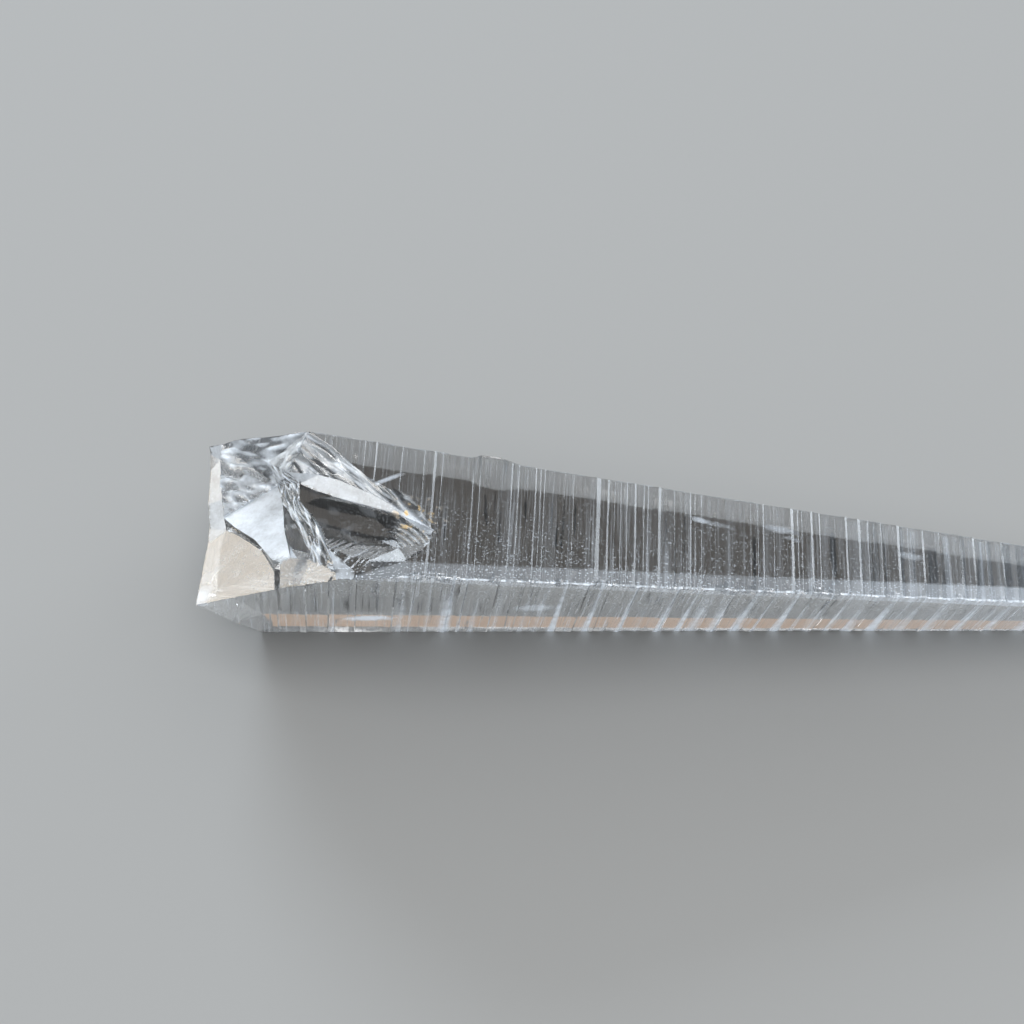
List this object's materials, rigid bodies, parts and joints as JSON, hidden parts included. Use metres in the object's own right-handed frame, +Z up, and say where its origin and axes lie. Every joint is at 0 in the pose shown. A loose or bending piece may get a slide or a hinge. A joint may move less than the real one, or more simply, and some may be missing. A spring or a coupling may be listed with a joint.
{
  "type": "quartz crystal",
  "caption": "Clear tapering quartz point with fine cross ledges on its prism faces and a broken base, lying on one prism face.",
  "frame": {"origin": "middle of the crystal's bounding box, on the surface that it rests on", "axes": "+X along the crystal's length towards its point, +Z up from the prism face it rests on"},
  "size_m": [0.1097, 0.0285, 0.0246],
  "materials": {
    "quartz": "clear, glossy"
  },
  "bodies": {
    "root": {"crystal": "quartz"}
  },
  "joints": []
}
